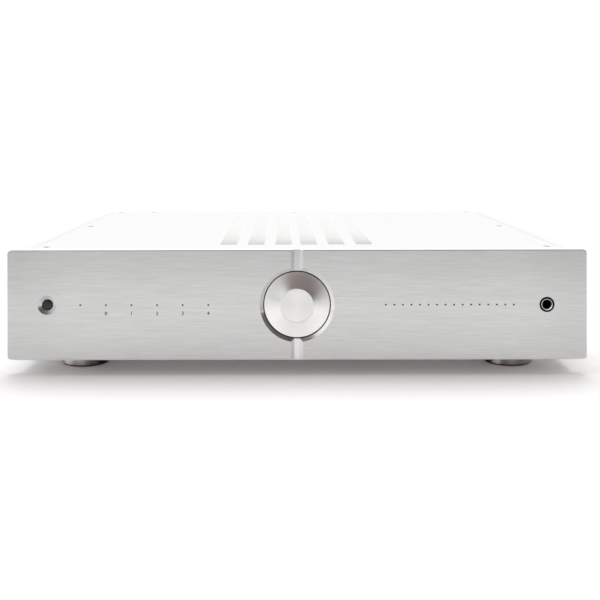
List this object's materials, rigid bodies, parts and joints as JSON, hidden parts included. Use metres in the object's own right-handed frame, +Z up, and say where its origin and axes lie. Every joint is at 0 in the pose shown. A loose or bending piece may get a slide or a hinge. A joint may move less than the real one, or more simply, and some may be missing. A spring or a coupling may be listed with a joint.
{
  "type": "integrated amplifier",
  "caption": "Slim full-width hi-fi amplifier: brushed aluminium front with a vertical groove and a large recessed dished volume knob, slotted cover, round feet.",
  "frame": {"origin": "centre of the footprint (bounding box), on the surface the feet stand on", "axes": "+X to the right seen from the front, +Y towards the rear panel, +Z up"},
  "size_m": [0.445, 0.3978, 0.096],
  "materials": {
    "panel_aluminium": "brushed along the panel's width, clear anodised",
    "knob_aluminium": "turned, fine concentric grain, clear anodised",
    "cover_aluminium": "smooth satin silver",
    "side_aluminium": "fine blasted, anodised",
    "sheet_steel": "zinc-grey sheet",
    "rear_paint": "satin silver-grey powder coat",
    "foot_aluminium": "turned, satin",
    "foot_rubber": "matt",
    "black_screws": "zinc plated",
    "cover_screws": "stainless",
    "brass": "turned",
    "steel": "bright",
    "chrome": "polished",
    "black_plastic": "fine moulded",
    "gloss_black": "infrared-dark acrylic",
    "led_plastic": "water-clear epoxy",
    "board_green": "solder mask",
    "gold": "gold plated",
    "insulator": "nylon",
    "collar_plastic": "nylon, red for plus and black for minus",
    "cap_red": "translucent red",
    "cap_black": "black",
    "transformer_wrap": "polyester film wrap",
    "capacitor_sleeve": "shrink sleeve",
    "epoxy": "moulded epoxy",
    "heat_sink": "black anodised",
    "cable": "PVC sleeve",
    "fuse_glass": "glass tube"
  },
  "bodies": {
    "chassis": {"amplifier_boards": "board_green", "base_plate": "sheet_steel", "board_pillars": "brass", "chassis_fasteners": "black_screws", "connector_nuts": "steel", "cover_screws": "cover_screws", "earth_stud": "chrome", "encoder_body": "steel", "encoder_bracket": "sheet_steel", "foot_bodies": "foot_aluminium", "foot_pads": "foot_rubber", "front_panel": "panel_aluminium", "headphone_ferrule": "chrome", "headphone_socket": "black_plastic", "heat_sinks": "heat_sink", "indicator_boards": "board_green", "indicator_leds": "led_plastic", "infrared_receiver": "epoxy", "infrared_window": "gloss_black", "inner_front_plate": "sheet_steel", "input_board": "board_green", "mains_inlet": "black_plastic", "power_semiconductors": "epoxy", "power_switch_frame": "black_plastic", "preamplifier_board": "board_green", "rca_contacts": "gold", "rca_insulators": "insulator", "rca_shells": "gold", "rear_panel": "rear_paint", "reservoir_capacitors": "capacitor_sleeve", "side_panel_left": "side_aluminium", "side_panel_right": "side_aluminium", "speaker_collars": "collar_plastic", "speaker_studs": "gold", "supply_board": "board_green", "top_cover": "cover_aluminium", "toroidal_transformer": "transformer_wrap", "transformer_clamp": "steel", "transformer_pads": "foot_rubber", "wiring_looms": "cable", "xlr_sockets": "steel"},
    "rotor": {"encoder_rotor": "black_plastic"},
    "knob": {"volume_knob": "knob_aluminium", "knob_insert": "brass", "encoder_shaft": "steel"},
    "rocker": {"power_rocker": "gloss_black"},
    "fuse_drawer": {"fuse_drawer": "black_plastic", "mains_fuse": "fuse_glass"},
    "latch_left": {"xlr_latch_left": "chrome"},
    "latch_right": {"xlr_latch_right": "chrome"},
    "earth_washer": {"earth_washer": "chrome"},
    "earth_nut": {"earth_nut": "chrome"},
    "washer_right_plus": {"washer_right_plus": "gold"},
    "cap_right_plus": {"cap_right_plus": "cap_red"},
    "washer_right_minus": {"washer_right_minus": "gold"},
    "cap_right_minus": {"cap_right_minus": "cap_black"},
    "washer_left_plus": {"washer_left_plus": "gold"},
    "cap_left_plus": {"cap_left_plus": "cap_red"},
    "washer_left_minus": {"washer_left_minus": "gold"},
    "cap_left_minus": {"cap_left_minus": "cap_black"}
  },
  "joints": [
    {"name": "knob_turn", "type": "hinge", "parent": "chassis", "child": "rotor", "pos_m": [0, -0.1741, 0.05375], "axis": [0, 1, 0], "continuous": true},
    {"name": "knob_push", "type": "slide", "parent": "rotor", "child": "knob", "axis": [0, 1, 0], "range_m": [0, 0.0005], "stiffness_N_per_m": 4000},
    {"name": "power_rock", "type": "hinge", "parent": "chassis", "child": "rocker", "pos_m": [-0.112, 0.1694, 0.055], "axis": [1, 0, 0], "range_deg": [0, 24]},
    {"name": "fuse_slide", "type": "slide", "parent": "chassis", "child": "fuse_drawer", "axis": [0, 1, 0], "range_m": [0, 0.022]},
    {"name": "latch_left_press", "type": "slide", "parent": "chassis", "child": "latch_left", "axis": [0, 0, -1], "range_m": [0, 0.0015], "stiffness_N_per_m": 1500},
    {"name": "latch_right_press", "type": "slide", "parent": "chassis", "child": "latch_right", "axis": [0, 0, -1], "range_m": [0, 0.0015], "stiffness_N_per_m": 1500},
    {"name": "earth_lift", "type": "slide", "parent": "chassis", "child": "earth_washer", "axis": [0, 1, 0], "range_m": [0, 0.00281]},
    {"name": "earth_turn", "type": "hinge", "parent": "earth_washer", "child": "earth_nut", "pos_m": [0.04, 0.1789, 0.042], "axis": [0, 1, 0], "range_deg": [0, 1440]},
    {"name": "lift_right_plus", "type": "slide", "parent": "chassis", "child": "washer_right_plus", "axis": [0, 1, 0], "range_m": [0, 0.00501]},
    {"name": "turn_right_plus", "type": "hinge", "parent": "washer_right_plus", "child": "cap_right_plus", "pos_m": [0.008, 0.1889, 0.055], "axis": [0, 1, 0], "range_deg": [0, 1800]},
    {"name": "lift_right_minus", "type": "slide", "parent": "chassis", "child": "washer_right_minus", "axis": [0, 1, 0], "range_m": [0, 0.00501]},
    {"name": "turn_right_minus", "type": "hinge", "parent": "washer_right_minus", "child": "cap_right_minus", "pos_m": [-0.01105, 0.1889, 0.055], "axis": [0, 1, 0], "range_deg": [0, 1800]},
    {"name": "lift_left_plus", "type": "slide", "parent": "chassis", "child": "washer_left_plus", "axis": [0, 1, 0], "range_m": [0, 0.00501]},
    {"name": "turn_left_plus", "type": "hinge", "parent": "washer_left_plus", "child": "cap_left_plus", "pos_m": [-0.042, 0.1889, 0.055], "axis": [0, 1, 0], "range_deg": [0, 1800]},
    {"name": "lift_left_minus", "type": "slide", "parent": "chassis", "child": "washer_left_minus", "axis": [0, 1, 0], "range_m": [0, 0.00501]},
    {"name": "turn_left_minus", "type": "hinge", "parent": "washer_left_minus", "child": "cap_left_minus", "pos_m": [-0.06105, 0.1889, 0.055], "axis": [0, 1, 0], "range_deg": [0, 1800]}
  ],
  "couplings": [
    {"joint": "earth_lift", "follows": "earth_turn", "m_per_rad": 0.00011141},
    {"joint": "lift_right_plus", "follows": "turn_right_plus", "m_per_rad": 0.00015915},
    {"joint": "lift_right_minus", "follows": "turn_right_minus", "m_per_rad": 0.00015915},
    {"joint": "lift_left_plus", "follows": "turn_left_plus", "m_per_rad": 0.00015915},
    {"joint": "lift_left_minus", "follows": "turn_left_minus", "m_per_rad": 0.00015915}
  ]
}
